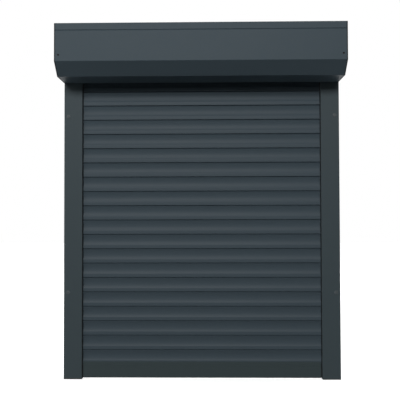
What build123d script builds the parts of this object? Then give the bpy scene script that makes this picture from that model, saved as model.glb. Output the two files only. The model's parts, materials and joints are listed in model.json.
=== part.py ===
from build123d import *
import math
import os

# Front-mounted roller shutter. X runs along its width, the wall is at +Y, Z runs up.
# The origin is under the middle of the whole shutter, on the level of the rails' feet.

# Overall sizes
shutter_width = 800.0
shutter_height = 1000.0
casing_size = 140.0
casing_chamfer = 35.0

# Clearances
seat_gap = 0.3
fit_gap = 0.15
running_gap = 0.05
press_gap = 0.02
overrun = 5.0

# Folded sheets of the casing
sheet_wall = 1.0
bend_radius = 1.0
front_lip = 19.0
seam_gap = 0.8
joggle_rise = 2.0
joggle_height = 8.0
return_lip = 8.0
slot_edge = 2.0

# Cast end caps
cap_plate = 3.0
cap_flange = 14.0
cap_flange_wall = 2.0
cap_rib_wall = 2.0
cap_rib_height = 4.0
cap_rib_end = 50.0
screw_boss_width = 9.0
screw_boss_depth = 9.0
peg_length = 60.0
peg_lead = 1.6
peg_base = 6.0
peg_flute_width = 9.0
peg_flute_depth = 5.0

# Countersunk casing screws
screw_inset = 11.5
screw_radius = 1.45
screw_head_radius = 2.8
screw_length = 9.0
front_screw_rise = 17.0
top_screw_spread = 70.0
back_screw_rise = 80.0

# Guide rails
rail_width = 53.0
rail_depth = 22.0
rail_wall = 1.6
rail_chamber = 25.0
rail_edge_radius = 0.8
rail_nose_radius = 1.5
lip_length = 7.5
lip_depth = 4.6
groove_width = 3.9
groove_depth = 2.7
groove_throat = 2.1
groove_inset = 1.8
throat_depth = 0.8
seal_overhang = 2.0
seal_root = 5.5
foot_height = 3.0
foot_tongue = 12.0
foot_lead = 1.0
fixing_hole_radius = 3.5
plug_hole_radius = 5.0
plug_rim_radius = 5.8
plug_rim_height = 0.8
plug_stem = 5.0
lower_fixing_height = 250.0
upper_fixing_drop = 97.0

# Inlet funnels
funnel_depth = 15.0
funnel_height = 26.0
funnel_web = 3.0
funnel_straight = 2.0
funnel_step_height = 10.0
funnel_flare = 6.6
funnel_tip = 2.6
funnel_back_height = 20.0

# Curtain slats
slat_pitch = 41.8
slat_wall = 1.0
slat_end_room = 8.0
slat_hollow = 2.6
slat_back_rise = 2.2
lip_round = 0.8
lip_wall = 1.2
ledge_length = 2.0
channel_width = 6.6
cavity_height = 6.4
hook_head = 3.0
shoulder_drop = 3.8
neck_drop = 0.6
bar_to_first_slat = 42.8
curtain_overlap = 19.0

# End locks on every third slat
lock_step = 3
lock_head = 2.5
lock_tongue = 12.0
lock_tongue_wall = 1.4

# End bar
bar_bottom = 5.0
bar_top = 50.0
bar_cover = 1.8
bar_lip_wall = 1.2
bar_back = 8.0
bar_wall = 1.4
bar_body_gap = 1.1
bar_back_slope = 2.5
bar_end_gap = 1.0
bar_groove_depth = 0.5
bar_groove_width = 0.8
bar_groove_drops = (9.0, 15.0)
seal_throat = 3.0
seal_cavity = 5.4
seal_throat_depth = 1.2
seal_cavity_depth = 2.6
seal_drop = 2.0
seal_width = 6.0
glide_end_room = 6.0
glide_tongue = 25.0
glide_edge = 3.0
glide_radius = 3.0

# Octagonal roller tube and its ends
tube_flats = 40.0
tube_wall = 0.8
tube_left_gap = 22.0
collar_radius = 23.0
collar_thick = 3.0
idler_length = 45.0
pin_radius = 6.0
pin_in_cap = 38.0
bearing_radius = 14.0
bearing_width = 8.0
bearing_wall = 2.4
bearing_seat_wall = 4.0
bearing_shield = 1.0
bearing_race_gap = 0.4
octagon_sides = 8

# Tubular motor
motor_radius = 16.5
motor_length = 400.0
motor_end_chamfer = 1.0
journal_radius = 17.0
crown_length = 14.0
crown_collar = 2.0
motor_head_radius = 24.0
motor_head_length = 14.0
spigot_size = 12.0
bracket_size = 58.0
bracket_radius = 8.0
bracket_thick = 3.5
bracket_stand = 6.0
bracket_boss_radius = 5.0
bracket_hole_spacing = 42.0
bracket_screw_radius = 2.0
bracket_head_radius = 3.8
bracket_head_height = 2.2
bracket_screw_depth = 7.0
output_radius = 5.0
output_socket = 10.0
drive_length = 18.0
drive_gap = 2.0
drive_rib_wall = 3.0
drive_hub_radius = 10.0

# Cable outlet in the right end cap
outlet_inset = 30.0
outlet_drop = 25.0
grommet_hole_radius = 6.0
grommet_rim_radius = 8.0
grommet_rim = 1.2
grommet_back = 2.0
cable_bore_radius = 3.5

# Hanger straps between the tube and the top slat
strap_count = 3
strap_spacing = 230.0
strap_width = 22.0
strap_thick = 0.8
strap_foot = 8.0
strap_run = 25.0
clip_length = 30.0
hanger_drop = 28.4
clip_slot_depth = 5.0
top_room = 2.0

# Planes and levels that follow from the sizes
half_width = shutter_width / 2
wall_plane = casing_size / 2
front_face = -casing_size / 2
casing_bottom = shutter_height - casing_size
crease_height = casing_bottom + casing_chamfer
axis_y = 0.0
axis_z = casing_bottom + casing_size / 2
cap_inner = half_width - cap_plate
rail_front = wall_plane - rail_depth
rail_inner = half_width - rail_width
slat_thick = channel_width + slat_back_rise
curtain_front = wall_plane - rail_depth / 2 - slat_thick / 2
slat_half = half_width - rail_chamber - slat_end_room
seam_height = shutter_height - front_lip
outer_bend = bend_radius + sheet_wall
flange_inset = sheet_wall + fit_gap
upper_fixing_height = casing_bottom - upper_fixing_drop
slat_count = math.floor((casing_bottom + curtain_overlap - bar_to_first_slat) / slat_pitch)
curtain_top = bar_to_first_slat + slat_count * slat_pitch

# Hook and channel of the slats, measured from a slat's front and lower edge
ledge_end = slat_wall + ledge_length
cavity_top = lip_wall + cavity_height
cavity_back = channel_width - slat_wall
channel_top = cavity_top + slat_wall
neck_back = cavity_back - slat_wall / 2
neck_front = neck_back - slat_wall
hook_tip = slat_wall + seat_gap
hook_top = slat_pitch + cavity_top - seat_gap
hook_bottom = hook_top - hook_head
shoulder_height = slat_pitch - shoulder_drop
slat_play = cavity_height - hook_head - 2 * seat_gap

# Travel of the curtain that the model holds, up to the casing's top
clip_top = axis_z - hanger_drop
full_rise = shutter_height - sheet_wall - top_room - clip_top
bar_rise = full_rise - (slat_count + 1) * slat_play
winding_radius = tube_flats / 2 / math.cos(math.pi / octagon_sides) + slat_thick / 2


def facing_plane(y):
    """Upright plane that looks to the front: x runs along the width, y runs up."""
    return Plane(origin=(0, y, 0), x_dir=(1, 0, 0), z_dir=(0, -1, 0))


def axis_plane(x):
    """Plane across the roller's axis at the place x."""
    return Plane(origin=(x, axis_y, axis_z), x_dir=(0, 1, 0), z_dir=(1, 0, 0))


def slat_plane(base, x=0):
    """Section plane of the curtain: x runs from a slat's front to the wall, y runs up."""
    return Plane(origin=(x, curtain_front, base), x_dir=(0, 1, 0), z_dir=(1, 0, 0))


def rail_point(side, across, deep):
    """Place in a rail's section, from its outer front corner."""
    return (side * (half_width - across), rail_front + deep)


def rail_block(side, across, deep, mode=Mode.ADD):
    """Rectangle in a rail's section between two spans."""
    center = rail_point(side, sum(across) / 2, sum(deep) / 2)
    with Locations(center):
        Rectangle(abs(across[1] - across[0]), abs(deep[1] - deep[0]), mode=mode)


def span_block(across, up, mode=Mode.ADD):
    """Rectangle in the current sketch between two spans."""
    with Locations((sum(across) / 2, sum(up) / 2)):
        Rectangle(abs(across[1] - across[0]), abs(up[1] - up[0]), mode=mode)


def save(name, part):
    """Label a finished piece and write its file."""
    part.label = name
    export_step(part, f"parts/{name}.step")


def folded_sheet(points):
    """Sheet of the casing folded along its outer face, which the points follow."""
    with BuildPart() as sheet:
        with BuildSketch(Plane.YZ):
            with BuildLine():
                FilletPolyline(*points, radius=outer_bend)
                offset(amount=sheet_wall, side=Side.RIGHT)
            make_face()
        extrude(amount=cap_inner - fit_gap, both=True)
        with Locations(*screw_planes(-1), *screw_planes(1)):
            CounterSinkHole(
                radius=screw_radius + fit_gap,
                counter_sink_radius=screw_head_radius + fit_gap,
                depth=sheet_wall + overrun,
            )
    return sheet.part


def screw_planes(side):
    """Places of one end's casing screws, each on the outer face, looking outwards."""
    x = side * (half_width - screw_inset)
    front = ((x, front_face, crease_height + front_screw_rise), (0, -1, 0))
    back = ((x, wall_plane, casing_bottom + back_screw_rise), (0, 1, 0))
    tops = [((x, y, shutter_height), (0, 0, 1)) for y in (-top_screw_spread / 2, top_screw_spread / 2)]
    return [Plane(origin=place, x_dir=(1, 0, 0), z_dir=out) for place, out in (front, back, *tops)]


# Outer outline of the casing in its cross-section, with the chamfer
casing_corners = [
    (front_face, crease_height),
    (front_face, shutter_height),
    (wall_plane, shutter_height),
    (wall_plane, casing_bottom),
    (front_face + casing_chamfer, casing_bottom),
]

os.makedirs("parts", exist_ok=True)

# Rear casing: back, top and the lip that turns down over the front
save(
    "rear_casing",
    folded_sheet(
        [
            (front_face, seam_height),
            (front_face, shutter_height),
            (wall_plane, shutter_height),
            (wall_plane, casing_bottom),
        ]
    ),
)

# Inspection cover: front, chamfer and underside, with a joggled upper edge and a return lip
slot_y = rail_front + slot_edge
joggle_y = front_face + sheet_wall + seat_gap
joggle_end = seam_height - seam_gap
joggle_top = joggle_end + joggle_height
with BuildPart() as inspection_cover:
    add(
        folded_sheet(
            [
                (slot_y, casing_bottom + return_lip),
                (slot_y, casing_bottom),
                (front_face + casing_chamfer, casing_bottom),
                (front_face, crease_height),
                (front_face, joggle_end - joggle_rise),
                (joggle_y, joggle_end),
                (joggle_y, joggle_top),
            ]
        )
    )
    with BuildSketch(facing_plane(slot_y + overrun)):
        for side in (-1, 1):
            span_block(
                (side * half_width, side * (cap_inner - cap_flange - seat_gap)),
                (casing_bottom + sheet_wall, casing_bottom + return_lip + overrun),
            )
    extrude(amount=2 * overrun + sheet_wall, mode=Mode.SUBTRACT)
save("inspection_cover", inspection_cover.part)


# End caps
def cap_body(side):
    """Cast end cap: plate, flange under the sheets, screw bosses, ribs and the rail peg."""
    outer = side * half_width
    inner = side * cap_inner
    peg_across = (rail_wall + fit_gap, rail_chamber - rail_wall - fit_gap)
    peg_deep = (rail_wall + fit_gap, rail_depth - rail_wall - fit_gap)
    base_deep = (slot_edge + seat_gap, rail_depth - rail_wall - fit_gap)
    with BuildPart() as cap:
        with BuildSketch(Plane.YZ.offset(outer)) as plate:
            Polygon(*casing_corners, align=None)
            fillet(plate.vertices(), radius=outer_bend)
        extrude(amount=-side * cap_plate)
        with BuildSketch(Plane.YZ.offset(inner)) as flange:
            Polygon(*casing_corners, align=None)
            fillet(flange.vertices(), radius=outer_bend)
            offset(amount=-flange_inset, mode=Mode.REPLACE)
            offset(amount=-cap_flange_wall, mode=Mode.SUBTRACT)
            span_block(
                (front_face, joggle_y + sheet_wall + cap_flange_wall),
                (joggle_end - joggle_rise - outer_bend, joggle_top + seat_gap),
                Mode.SUBTRACT,
            )
        extrude(amount=-side * cap_flange)
        for plane in screw_planes(side):
            with BuildSketch(plane.offset(-flange_inset)):
                span_block(
                    (-side * screw_boss_width / 2, side * (screw_inset - cap_plate)),
                    (-screw_boss_width / 2, screw_boss_width / 2),
                )
            extrude(amount=-cap_flange_wall - screw_boss_depth)
        with BuildSketch(axis_plane(inner)):
            Rectangle(2 * cap_rib_end, cap_rib_wall)
            Rectangle(cap_rib_wall, 2 * cap_rib_end)
        extrude(amount=-side * cap_rib_height)
        with BuildSketch(Plane.XY.offset(casing_bottom + peg_base)):
            rail_block(side, (cap_plate, peg_across[1]), base_deep)
        extrude(amount=-peg_base)
        with BuildSketch(Plane.XY.offset(casing_bottom)):
            rail_block(side, peg_across, peg_deep)
            for deep in (peg_deep[0], peg_deep[1]):
                with Locations(rail_point(side, sum(peg_across) / 2, deep)):
                    Rectangle(peg_flute_width, 2 * peg_flute_depth, mode=Mode.SUBTRACT)
        extrude(amount=-peg_length)
        tip = cap.faces().sort_by(Axis.Z)[0]
        chamfer(tip.edges(), length=peg_lead)
        with Locations(*screw_planes(side)):
            CounterSinkHole(
                radius=screw_radius + press_gap,
                counter_sink_radius=screw_head_radius + fit_gap,
                depth=screw_length + seat_gap,
            )
    return cap.part


outlet_y = wall_plane - outlet_inset
outlet_z = shutter_height - outlet_drop
outlet_place = (outlet_y - axis_y, outlet_z - axis_z)
bearing_seat = bearing_radius + press_gap
seat_length = seat_gap + bearing_width
with BuildPart() as end_cap_left:
    add(cap_body(-1))
    with BuildSketch(axis_plane(-cap_inner)):
        Circle(bearing_seat + bearing_seat_wall)
    extrude(amount=seat_length)
    with BuildSketch(axis_plane(-cap_inner)):
        Circle(bearing_seat)
    extrude(amount=seat_length + overrun, mode=Mode.SUBTRACT)
save("end_cap_left", end_cap_left.part)

bracket_spots = GridLocations(bracket_hole_spacing, bracket_hole_spacing, 2, 2)
with BuildPart() as end_cap_right:
    add(cap_body(1))
    with BuildSketch(axis_plane(cap_inner)):
        with bracket_spots:
            Circle(bracket_boss_radius)
    extrude(amount=-bracket_stand)
    with BuildSketch(axis_plane(cap_inner - bracket_stand)):
        with bracket_spots:
            Circle(bracket_screw_radius + press_gap)
    extrude(amount=bracket_screw_depth + seat_gap, mode=Mode.SUBTRACT)
    with BuildSketch(axis_plane(half_width)):
        with Locations(outlet_place):
            Circle(grommet_hole_radius)
    extrude(amount=-cap_plate - overrun, mode=Mode.SUBTRACT)
    with BuildSketch(axis_plane(half_width)):
        with Locations(outlet_place):
            Circle(grommet_rim_radius + fit_gap)
    extrude(amount=-grommet_rim, mode=Mode.SUBTRACT)
save("end_cap_right", end_cap_right.part)

# Rubber grommet of the cable outlet
with BuildPart() as cable_grommet:
    for x, radius, length in (
        (half_width, grommet_rim_radius, grommet_rim),
        (half_width - grommet_rim, grommet_hole_radius - fit_gap, cap_plate - grommet_rim + fit_gap),
        (cap_inner - fit_gap, grommet_rim_radius, grommet_back),
    ):
        with BuildSketch(axis_plane(x)):
            with Locations(outlet_place):
                Circle(radius)
        extrude(amount=-length)
    with BuildSketch(axis_plane(half_width)):
        with Locations(outlet_place):
            Circle(cable_bore_radius)
    extrude(amount=-cap_plate - fit_gap - grommet_back, mode=Mode.SUBTRACT)
save("cable_grommet", cable_grommet.part)

# Countersunk screws of the casing
cone = screw_head_radius - screw_radius
with BuildPart() as casing_screws:
    for side in (-1, 1):
        for plane in screw_planes(side):
            with BuildSketch(plane):
                Circle(screw_head_radius)
            extrude(amount=-cone, taper=math.degrees(math.atan(1)))
            with BuildSketch(plane):
                Circle(screw_radius)
            extrude(amount=-screw_length)
save("casing_screws", casing_screws.part)


# Guide rails
def guide_rail(side):
    """Extruded rail: screw chamber outside, curtain channel with two seal grooves inside."""
    channel = (rail_chamber, rail_width - lip_length)
    inside = (rail_wall, rail_depth - rail_wall)
    mouth = (rail_width - lip_length, rail_width + overrun)
    groove = (rail_width - groove_inset - groove_width, rail_width - groove_inset)
    middle = sum(groove) / 2
    throat = (middle - groove_throat / 2, middle + groove_throat / 2)
    with BuildPart() as rail:
        with BuildSketch(Plane.XY.offset(foot_height)) as section:
            rail_block(side, (0, rail_width), (0, rail_depth))
            nose = section.vertices().sort_by_distance((side * rail_inner, rail_front))[0]
            others = [corner for corner in section.vertices() if corner != nose]
            fillet(nose, radius=rail_nose_radius)
            fillet(others, radius=rail_edge_radius)
            rail_block(side, (rail_wall, rail_chamber - rail_wall), inside, Mode.SUBTRACT)
            rail_block(side, channel, inside, Mode.SUBTRACT)
            rail_block(side, mouth, (lip_depth, rail_depth - lip_depth), Mode.SUBTRACT)
            for flip in (0, rail_depth):
                for span, deep in (
                    (throat, (lip_depth - throat_depth, lip_depth)),
                    (groove, (lip_depth - groove_depth, lip_depth - throat_depth)),
                ):
                    place = tuple(abs(flip - value) for value in deep)
                    rail_block(side, span, place, Mode.SUBTRACT)
        extrude(amount=casing_bottom - foot_height)
        holes = [(side * fixing_x, height) for height in (lower_fixing_height, upper_fixing_height)]
        with BuildSketch(facing_plane(rail_front)):
            with Locations(*holes):
                Circle(plug_hole_radius)
        extrude(amount=-rail_depth / 2, mode=Mode.SUBTRACT)
        with BuildSketch(facing_plane(wall_plane)):
            with Locations(*holes):
                Circle(fixing_hole_radius)
        extrude(amount=rail_depth / 2, mode=Mode.SUBTRACT)
    return rail.part


def rail_seals(side):
    """Two rubber strips, rooted in the grooves, that wipe the curtain and show beside it."""
    groove = (rail_width - groove_inset - groove_width + fit_gap, rail_width - groove_inset - fit_gap)
    middle = sum(groove) / 2
    throat = (middle - groove_throat / 2 + fit_gap, middle + groove_throat / 2 - fit_gap)
    pad = (rail_width - seal_root, rail_width + seal_overhang)
    pad_face = rail_depth / 2 - slat_thick / 2 - seat_gap
    spans = (
        (groove, (lip_depth - groove_depth + fit_gap, lip_depth - throat_depth - fit_gap)),
        (throat, (lip_depth - throat_depth - fit_gap, lip_depth + fit_gap)),
        (pad, (lip_depth + fit_gap, pad_face)),
    )
    with BuildPart() as seals:
        with BuildSketch(Plane.XY.offset(foot_height + seat_gap)):
            for flip in (0, rail_depth):
                for span, deep in spans:
                    rail_block(side, span, tuple(abs(flip - value) for value in deep))
        extrude(amount=casing_bottom - foot_height - 2 * seat_gap)
    return seals.part


def rail_foot(side):
    """Plastic cap under a rail, with a tongue in the screw chamber."""
    tongue_across = (rail_wall + fit_gap, rail_chamber - rail_wall - fit_gap)
    tongue_deep = (rail_wall + fit_gap, rail_depth - rail_wall - fit_gap)
    with BuildPart() as foot:
        with BuildSketch(Plane.XY) as sole:
            rail_block(side, (0, rail_width), (0, rail_depth))
            fillet(sole.vertices(), radius=rail_edge_radius)
        extrude(amount=foot_height)
        with BuildSketch(Plane.XY.offset(foot_height)):
            rail_block(side, tongue_across, tongue_deep)
        extrude(amount=foot_tongue)
        chamfer(foot.faces().sort_by(Axis.Z)[-1].edges(), length=foot_lead)
    return foot.part


def inlet_funnel(side):
    """Guide above a rail's channel: two horns that spread upwards, joined by a web."""
    across_in = rail_chamber + fit_gap
    lower = casing_bottom - funnel_depth
    bend = casing_bottom + funnel_straight
    top = casing_bottom + funnel_height
    step = casing_bottom + funnel_step_height
    back_top = casing_bottom + funnel_back_height
    front = rail_front + rail_wall + fit_gap
    back = wall_plane - rail_wall - fit_gap
    way_front = curtain_front - seat_gap - fit_gap
    way_back = curtain_front + slat_thick + seat_gap + fit_gap
    clear = slot_y + seat_gap
    start = side * (half_width - across_in)
    with BuildPart() as funnel:
        with BuildSketch(Plane.YZ.offset(start)):
            with BuildLine():
                rise = Line((way_front, lower), (way_front, bend))
                horn = TangentArc(rise @ 1, (way_front - funnel_flare, top), tangent=rise % 1)
                Polyline(
                    horn @ 1,
                    (way_front - funnel_flare - funnel_tip, top - funnel_tip / 2),
                    (clear, step),
                    (clear, casing_bottom),
                    (front, casing_bottom),
                    (front, lower),
                    (way_front, lower),
                )
            make_face()
            with BuildLine():
                rise = Line((way_back, lower), (way_back, bend))
                horn = TangentArc(rise @ 1, (back - fit_gap, back_top), tangent=rise % 1)
                Polyline(horn @ 1, (back, back_top), (back, lower), (way_back, lower))
            make_face()
        extrude(amount=-side * (rail_width - lip_length - fit_gap - across_in))
        with BuildSketch(Plane.YZ.offset(start)):
            span_block((clear, back - fit_gap), (lower, back_top))
        extrude(amount=-side * funnel_web)
    return funnel.part


fixing_x = half_width - rail_chamber / 2
for side, name in ((-1, "left"), (1, "right")):
    save(f"guide_rail_{name}", guide_rail(side))
    save(f"rail_seals_{name}", rail_seals(side))
    save(f"rail_foot_{name}", rail_foot(side))
    save(f"inlet_funnel_{name}", inlet_funnel(side))

# Plugs over the fixing screws
plug_places = GridLocations(2 * fixing_x, upper_fixing_height - lower_fixing_height, 2, 2)
plug_plane = Plane(
    origin=(0, rail_front, (upper_fixing_height + lower_fixing_height) / 2),
    x_dir=(1, 0, 0),
    z_dir=(0, -1, 0),
)
with BuildPart() as rail_plugs:
    with BuildSketch(plug_plane):
        with plug_places:
            Circle(plug_rim_radius)
    extrude(amount=plug_rim_height)
    with BuildSketch(plug_plane):
        with plug_places:
            Circle(plug_hole_radius - fit_gap)
    extrude(amount=-plug_stem)
save("rail_plugs", rail_plugs.part)

# Motor bracket on the right end cap
motor_face = cap_inner - bracket_stand - bracket_thick
head_end = motor_face - motor_head_length
crown_out = head_end - seat_gap
tube_right = crown_out - crown_collar
crown_in = tube_right - crown_length
journal_end = crown_in - seat_gap
motor_end = journal_end - motor_length
tube_left = -(half_width - tube_left_gap)
with BuildPart() as motor_bracket:
    with BuildSketch(axis_plane(motor_face)) as plate:
        RectangleRounded(bracket_size, bracket_size, bracket_radius)
        Rectangle(spigot_size + 2 * fit_gap, spigot_size + 2 * fit_gap, mode=Mode.SUBTRACT)
        with bracket_spots:
            Circle(bracket_screw_radius + fit_gap, mode=Mode.SUBTRACT)
    extrude(amount=bracket_thick)
save("motor_bracket", motor_bracket.part)

with BuildPart() as bracket_screws:
    with BuildSketch(axis_plane(motor_face)):
        with bracket_spots:
            Circle(bracket_head_radius)
    extrude(amount=-bracket_head_height)
    with BuildSketch(axis_plane(motor_face)):
        with bracket_spots:
            Circle(bracket_screw_radius)
    extrude(amount=bracket_thick + bracket_screw_depth)
save("bracket_screws", bracket_screws.part)

# Motor head with its square spigot and the journal that carries the crown ring
with BuildPart() as motor_head:
    with BuildSketch(axis_plane(motor_face)):
        Circle(motor_head_radius)
        with bracket_spots:
            Circle(bracket_head_radius + seat_gap, mode=Mode.SUBTRACT)
    extrude(amount=-motor_head_length)
    with BuildSketch(axis_plane(head_end)):
        Circle(journal_radius)
    extrude(amount=journal_end - head_end)
    with BuildSketch(axis_plane(motor_face)):
        Rectangle(spigot_size, spigot_size)
    extrude(amount=bracket_thick)
save("motor_head", motor_head.part)

# Motor tube with the socket of its output stub
with BuildPart() as motor_tube:
    with BuildSketch(axis_plane(journal_end)):
        Circle(motor_radius)
    extrude(amount=-motor_length)
    chamfer(motor_tube.edges().filter_by(GeomType.CIRCLE).sort_by(Axis.X)[0], length=motor_end_chamfer)
    with BuildSketch(axis_plane(motor_end)):
        Circle(output_radius + running_gap)
    extrude(amount=output_socket, mode=Mode.SUBTRACT)
save("motor_tube", motor_tube.part)

# Sealed ball bearing in the left end cap
bearing_start = -cap_inner + seat_gap
with BuildPart() as bearing_outer_ring:
    with BuildSketch(axis_plane(bearing_start)):
        Circle(bearing_radius)
        Circle(bearing_radius - bearing_wall, mode=Mode.SUBTRACT)
    extrude(amount=bearing_width)
    for x in (bearing_start, bearing_start + bearing_width - bearing_shield):
        with BuildSketch(axis_plane(x)):
            Circle(bearing_radius - bearing_wall)
            Circle(pin_radius + bearing_wall + bearing_race_gap, mode=Mode.SUBTRACT)
        extrude(amount=bearing_shield)
save("bearing_outer_ring", bearing_outer_ring.part)

with BuildPart() as bearing_inner_ring:
    with BuildSketch(axis_plane(bearing_start)):
        Circle(pin_radius + bearing_wall)
        Circle(pin_radius + press_gap, mode=Mode.SUBTRACT)
    extrude(amount=bearing_width)
save("bearing_inner_ring", bearing_inner_ring.part)

# Octagonal roller tube
tube_inner_flats = tube_flats - 2 * tube_wall
plug_flats = tube_inner_flats - 2 * fit_gap
half_turn_share = 0.5
flat_turn = math.degrees(2 * math.pi) / octagon_sides * half_turn_share


def octagon(flats, mode=Mode.ADD):
    """Octagon with a flat side on top, by the distance across its flats."""
    RegularPolygon(flats / 2, octagon_sides, major_radius=False, rotation=flat_turn, mode=mode)


with BuildPart() as roller_tube:
    with BuildSketch(axis_plane(tube_left)):
        octagon(tube_flats)
        octagon(tube_inner_flats, Mode.SUBTRACT)
    extrude(amount=tube_right - tube_left)
save("roller_tube", roller_tube.part)

# Idler cap and its steel pin
with BuildPart() as idler_cap:
    with BuildSketch(axis_plane(tube_left - collar_thick)):
        Circle(collar_radius)
    extrude(amount=collar_thick)
    with BuildSketch(axis_plane(tube_left)):
        octagon(plug_flats)
    extrude(amount=idler_length)
    with BuildSketch(axis_plane(tube_left - collar_thick)):
        Circle(pin_radius + press_gap)
    extrude(amount=pin_in_cap, mode=Mode.SUBTRACT)
save("idler_cap", idler_cap.part)

pin_start = bearing_start + seat_gap
pin_end = tube_left - collar_thick + pin_in_cap
with BuildPart() as idler_pin:
    with BuildSketch(axis_plane(pin_start)):
        Circle(pin_radius)
    extrude(amount=pin_end - pin_start)
    chamfer(idler_pin.edges().filter_by(GeomType.CIRCLE).sort_by(Axis.X)[0], length=bearing_shield / 2)
save("idler_pin", idler_pin.part)

# Crown ring that turns on the motor head's journal
with BuildPart() as crown_ring:
    with BuildSketch(axis_plane(crown_out)):
        Circle(collar_radius)
    extrude(amount=-crown_collar)
    with BuildSketch(axis_plane(tube_right)):
        octagon(plug_flats)
    extrude(amount=-crown_length)
    with BuildSketch(axis_plane(crown_out)):
        Circle(journal_radius + running_gap)
    extrude(amount=crown_in - crown_out, mode=Mode.SUBTRACT)
save("crown_ring", crown_ring.part)

# Output stub and the drive wheel that fills the tube
drive_start = motor_end - drive_gap
with BuildPart() as motor_output:
    with BuildSketch(axis_plane(motor_end + output_socket - seat_gap)):
        Circle(output_radius)
    extrude(amount=drive_start - drive_length - motor_end - output_socket + seat_gap)
save("motor_output", motor_output.part)

with BuildPart() as drive_wheel:
    with BuildSketch(axis_plane(drive_start)):
        octagon(plug_flats)
        octagon(plug_flats - 2 * drive_rib_wall, Mode.SUBTRACT)
        Circle(drive_hub_radius)
        Rectangle(plug_flats - drive_rib_wall, drive_rib_wall)
        Rectangle(drive_rib_wall, plug_flats - drive_rib_wall)
        Circle(output_radius + press_gap, mode=Mode.SUBTRACT)
    extrude(amount=-drive_length)
save("drive_wheel", drive_wheel.part)

# Spring-steel straps that carry the top slat, and their hook clips
strap_y = curtain_front + (neck_front + neck_back - strap_thick) / 2
tube_top = axis_z + tube_flats / 2
strap_arc_y = axis_y + strap_run
strap_radius = strap_y - strap_arc_y
strap_end = clip_top - clip_slot_depth + seat_gap
strap_places = [strap_spacing * (i - (strap_count - 1) / 2) for i in range(strap_count)]
with BuildPart() as hanger_straps:
    for x in strap_places:
        with BuildSketch(Plane.YZ.offset(x)):
            with BuildLine():
                flat = Line((axis_y - strap_foot, tube_top), (strap_arc_y, tube_top))
                bow = RadiusArc(flat @ 1, (strap_y, tube_top - strap_radius), strap_radius)
                Line(bow @ 1, (strap_y, strap_end))
                offset(amount=strap_thick, side=Side.LEFT)
            make_face()
        extrude(amount=strap_width / 2, both=True)
save("hanger_straps", hanger_straps.part)


def channel_points():
    """Channel at the lower edge of a slat, from its front, round the cavity, to its back."""
    return [
        (lip_round, 0),
        (ledge_end, 0),
        (ledge_end, lip_wall),
        (slat_wall, lip_wall),
        (slat_wall, cavity_top),
        (cavity_back, cavity_top),
        (cavity_back, 0),
        (channel_width, 0),
    ]


def hook_points():
    """Neck and hook at the upper edge, from the back shoulder round the hook to the front."""
    return [
        (neck_back, slat_pitch - seat_gap),
        (neck_back, hook_top),
        (hook_tip, hook_top),
        (hook_tip, hook_bottom),
        (hook_tip + slat_wall, hook_bottom),
        (hook_tip + slat_wall, hook_top - slat_wall),
        (neck_front, hook_top - slat_wall),
    ]


clip_head_top = clip_top - curtain_top
slot_front = (neck_front + neck_back - strap_thick) / 2 - fit_gap
slot_back = (neck_front + neck_back + strap_thick) / 2 + fit_gap
with BuildPart() as hanger_clips:
    for x in strap_places:
        with BuildSketch(slat_plane(curtain_top, x)):
            with BuildLine():
                Polyline(
                    *channel_points(),
                    (channel_width, clip_head_top),
                    (0, clip_head_top),
                    (0, lip_round),
                    close=True,
                )
            make_face()
            slot_bottom = clip_head_top - clip_slot_depth
            span_block((slot_front, slot_back), (slot_bottom, clip_head_top), Mode.SUBTRACT)
        extrude(amount=clip_length / 2, both=True)
save("hanger_clips", hanger_clips.part)


# Curtain
arc_low = channel_top + lip_round
arc_middle = (arc_low + shoulder_height) / 2
bulge = channel_width + slat_back_rise


def slat(base):
    """One slat: hollow body that bows to the wall, channel below, neck and hook above."""
    inner_low = channel_top + slat_wall / 2
    inner_top = slat_pitch - seat_gap - slat_wall
    with BuildPart() as profile:
        with BuildSketch(slat_plane(base)):
            with BuildLine():
                Polyline(*channel_points(), (channel_width, arc_low))
                ThreePointArc(
                    (channel_width, arc_low), (bulge, arc_middle), (channel_width, shoulder_height)
                )
                Polyline(
                    (channel_width, shoulder_height),
                    (channel_width, slat_pitch - seat_gap),
                    *hook_points(),
                    (neck_front, slat_pitch - neck_drop),
                    (lip_round, shoulder_height + lip_round / 2),
                    (0, shoulder_height),
                )
                ThreePointArc((0, shoulder_height), (slat_hollow, arc_middle), (0, arc_low))
                Line((0, arc_low), (0, lip_round))
                RadiusArc((0, lip_round), (lip_round, 0), -lip_round)
            make_face()
            with BuildLine():
                ThreePointArc(
                    (slat_wall, shoulder_height),
                    (slat_hollow + slat_wall, arc_middle),
                    (slat_wall, inner_low),
                )
                Polyline(
                    (slat_wall, inner_low),
                    (slat_wall, channel_top),
                    (cavity_back, channel_top),
                    (cavity_back, inner_low),
                )
                ThreePointArc(
                    (cavity_back, inner_low),
                    (bulge - slat_wall, arc_middle),
                    (cavity_back, shoulder_height),
                )
                Polyline(
                    (cavity_back, shoulder_height),
                    (cavity_back, inner_top),
                    (neck_front, inner_top),
                    (slat_wall, shoulder_height),
                )
            make_face(mode=Mode.SUBTRACT)
        extrude(amount=slat_half, both=True)
    return profile.part


def end_locks(base):
    """Two plastic locks that close a slat's ends, each with a tongue in the chamber."""
    heart = (slat_hollow + bulge) / 2
    tongue_height = (shoulder_height - arc_low) / 2
    with BuildPart() as locks:
        for side in (-1, 1):
            with BuildSketch(slat_plane(base, side * slat_half)):
                with BuildLine():
                    ThreePointArc((0, shoulder_height), (slat_hollow, arc_middle), (0, arc_low))
                    Line((0, arc_low), (channel_width, arc_low))
                    ThreePointArc(
                        (channel_width, arc_low), (bulge, arc_middle), (channel_width, shoulder_height)
                    )
                    Line((channel_width, shoulder_height), (0, shoulder_height))
                make_face()
            extrude(amount=side * lock_head)
            with BuildSketch(slat_plane(base, side * slat_half)):
                with Locations((heart, arc_middle)):
                    Rectangle(lock_tongue_wall, tongue_height)
            extrude(amount=-side * lock_tongue)
    return locks.part


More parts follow.
